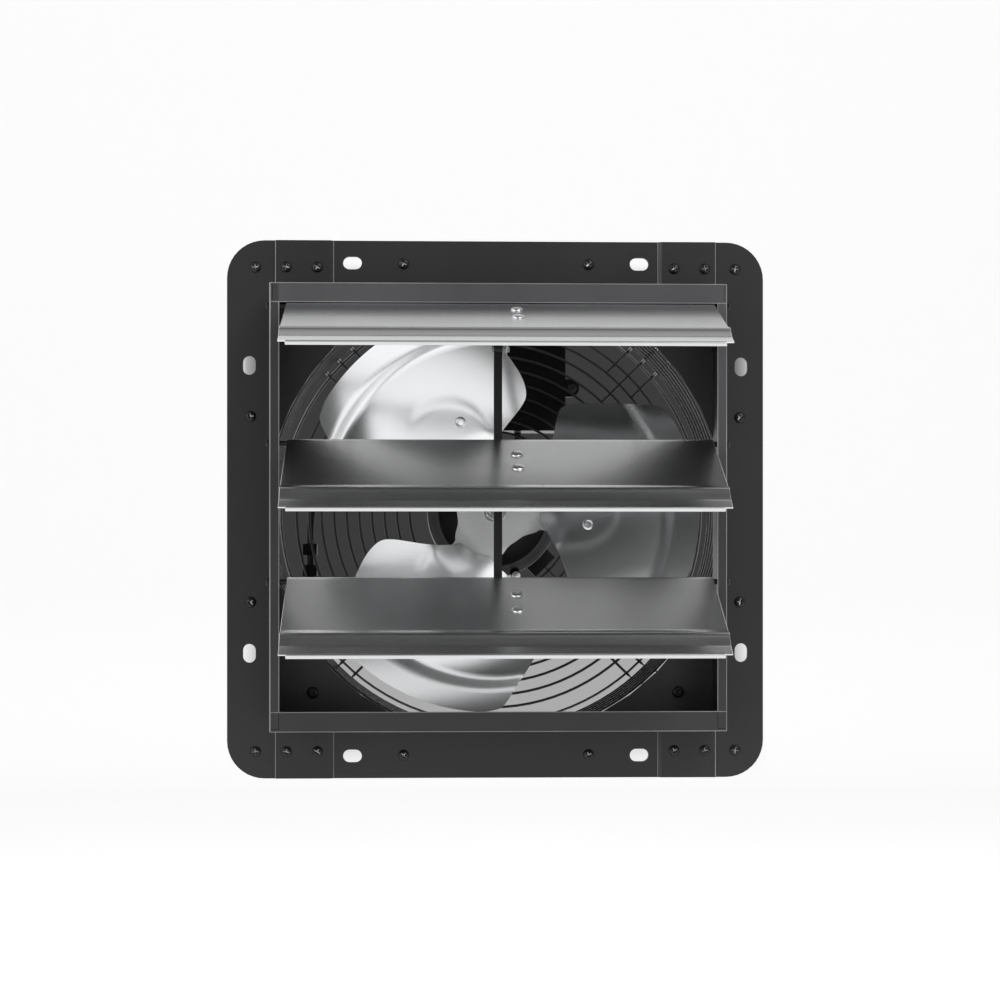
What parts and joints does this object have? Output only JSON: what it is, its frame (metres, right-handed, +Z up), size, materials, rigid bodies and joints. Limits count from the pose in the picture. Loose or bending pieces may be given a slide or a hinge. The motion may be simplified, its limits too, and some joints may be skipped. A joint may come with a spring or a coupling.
{
  "type": "shutter exhaust fan",
  "caption": "Square wall exhaust fan with linked swinging louvres in front, a bladed rotor behind them and a wire basket guard that carries the motor.",
  "frame": {"origin": "centre of the square frame's rear face, the plane that lies on the wall", "axes": "-Y out of the louvred front, +Y into the wall and along the fan's axis, +Z up, +X to the right seen from the front"},
  "size_m": [0.4, 0.3015, 0.4],
  "materials": {
    "charcoal_frame": "satin powder coat",
    "black_sheet": "satin powder coat",
    "black_wire": "semi-gloss coat",
    "black_motor": "satin paint",
    "black_nylon": "fine grain",
    "cord_rubber": "matt",
    "louvre_aluminium": "bright rolled sheet",
    "blade_aluminium": "bright rolled sheet",
    "spider_aluminium": "satin",
    "zinc_steel": "zinc plate",
    "dark_fastener": "black oxide"
  },
  "bodies": {
    "housing": {"frame_side_left": "charcoal_frame", "frame_side_right": "charcoal_frame", "frame_top": "charcoal_frame", "frame_bottom": "charcoal_frame", "orifice_plate": "black_sheet", "guard": "black_wire", "guard_screw_1": "dark_fastener", "guard_screw_2": "dark_fastener", "guard_screw_3": "dark_fastener", "guard_screw_4": "dark_fastener", "motor_housing": "black_motor", "motor_mount_plate": "black_motor", "motor_rear_cap": "black_motor", "junction_box": "black_nylon", "junction_box_lid": "black_nylon", "cable_gland": "black_nylon", "supply_lead": "cord_rubber", "lead_anchor": "black_nylon", "motor_lead": "cord_rubber", "lead_clip_1": "black_nylon", "lead_clip_2": "black_nylon", "bush_top_left": "black_nylon", "bush_top_right": "black_nylon", "bush_middle_left": "black_nylon", "bush_middle_right": "black_nylon", "bush_bottom_left": "black_nylon", "bush_bottom_right": "black_nylon"},
    "fan": {"blade_1": "blade_aluminium", "blade_2": "blade_aluminium", "blade_3": "blade_aluminium", "blade_spider": "spider_aluminium", "hub_boss": "zinc_steel", "hub_nut": "zinc_steel", "motor_shaft": "zinc_steel"},
    "top_louvre": {"louvre_top": "louvre_aluminium", "crank_bracket_top": "zinc_steel", "crank_pin_top": "zinc_steel", "pivot_pin_top_left": "zinc_steel", "pivot_pin_top_right": "zinc_steel", "rivet_top_1": "zinc_steel", "rivet_top_2": "zinc_steel"},
    "middle_louvre": {"louvre_middle": "louvre_aluminium", "crank_bracket_middle": "zinc_steel", "crank_pin_middle": "zinc_steel", "pivot_pin_middle_left": "zinc_steel", "pivot_pin_middle_right": "zinc_steel", "rivet_middle_1": "zinc_steel", "rivet_middle_2": "zinc_steel"},
    "bottom_louvre": {"louvre_bottom": "louvre_aluminium", "crank_bracket_bottom": "zinc_steel", "crank_pin_bottom": "zinc_steel", "pivot_pin_bottom_left": "zinc_steel", "pivot_pin_bottom_right": "zinc_steel", "rivet_bottom_1": "zinc_steel", "rivet_bottom_2": "zinc_steel"},
    "tie_bar": {"tie_bar": "dark_fastener"}
  },
  "joints": [
    {"name": "fan_spin", "type": "hinge", "parent": "housing", "child": "fan", "pos_m": [0, 0.05, 0], "axis": [0, 1, 0], "continuous": true},
    {"name": "middle_louvre_swing", "type": "hinge", "parent": "housing", "child": "middle_louvre", "pos_m": [0, -0.0553, 0.0459], "axis": [1, 0, 0], "range_deg": [-1.5, 58.5]},
    {"name": "top_louvre_swing", "type": "hinge", "parent": "housing", "child": "top_louvre", "pos_m": [0, -0.0553, 0.1452], "axis": [1, 0, 0], "range_deg": [-1.68, 65.48]},
    {"name": "bottom_louvre_swing", "type": "hinge", "parent": "housing", "child": "bottom_louvre", "pos_m": [0, -0.0553, -0.0534], "axis": [1, 0, 0], "range_deg": [-1.5, 58.5]},
    {"name": "tie_bar_pivot", "type": "hinge", "parent": "middle_louvre", "child": "tie_bar", "pos_m": [0, -0.03843, 0.01854], "axis": [1, 0, 0], "range_deg": [-58.5, 1.5]}
  ],
  "couplings": [
    {"joint": "top_louvre_swing", "follows": "middle_louvre_swing", "ratio": 1.1193},
    {"joint": "bottom_louvre_swing", "follows": "middle_louvre_swing", "ratio": 1},
    {"joint": "tie_bar_pivot", "follows": "middle_louvre_swing", "ratio": -1}
  ]
}
